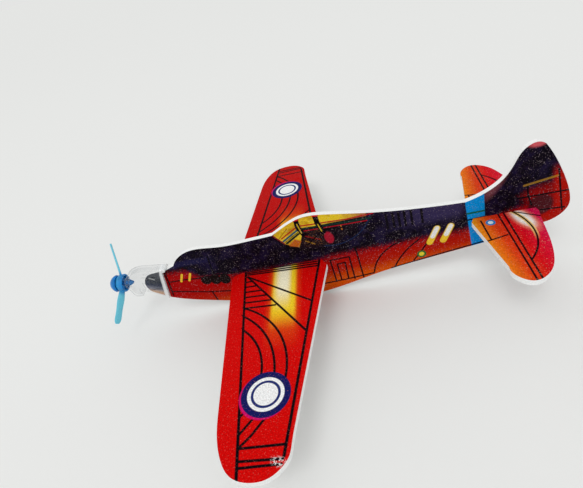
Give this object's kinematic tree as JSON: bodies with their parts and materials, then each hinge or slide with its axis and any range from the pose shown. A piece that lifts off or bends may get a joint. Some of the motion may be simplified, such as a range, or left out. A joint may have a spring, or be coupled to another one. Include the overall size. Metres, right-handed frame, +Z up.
{
  "type": "hand glider",
  "caption": "Slot-together foam-sheet hand glider with printed wing and tail plates, a clear clip-on nose cap and a free-spinning propeller.",
  "frame": {"origin": "centre of the whole glider's bounding box at its lowest point, wings level", "axes": "-X towards the propeller, +X towards the tail, -Y to port, +Y to starboard, +Z up"},
  "size_m": [0.1826, 0.1716, 0.0506],
  "materials": {
    "fuselage_foam": "satin",
    "wing_foam": "satin",
    "tail_foam": "satin",
    "clear_cap": "gloss",
    "propeller_plastic": "gloss",
    "pin_plastic": "gloss"
  },
  "bodies": {
    "airframe": {"fuselage": "fuselage_foam", "wing": "wing_foam", "tailplane": "tail_foam", "nose_cap": "clear_cap"},
    "pin": {"axle_pin": "pin_plastic"},
    "propeller": {"propeller": "propeller_plastic"}
  },
  "joints": [
    {"name": "pin_turn", "type": "hinge", "parent": "airframe", "child": "pin", "pos_m": [-0.08354, 0, 0.02333], "axis": [-0.9945, 0, 0.1045], "continuous": true},
    {"name": "propeller_spin", "type": "hinge", "parent": "pin", "child": "propeller", "pos_m": [-0.08354, 0, 0.02333], "axis": [-0.9945, 0, 0.1045], "continuous": true}
  ]
}
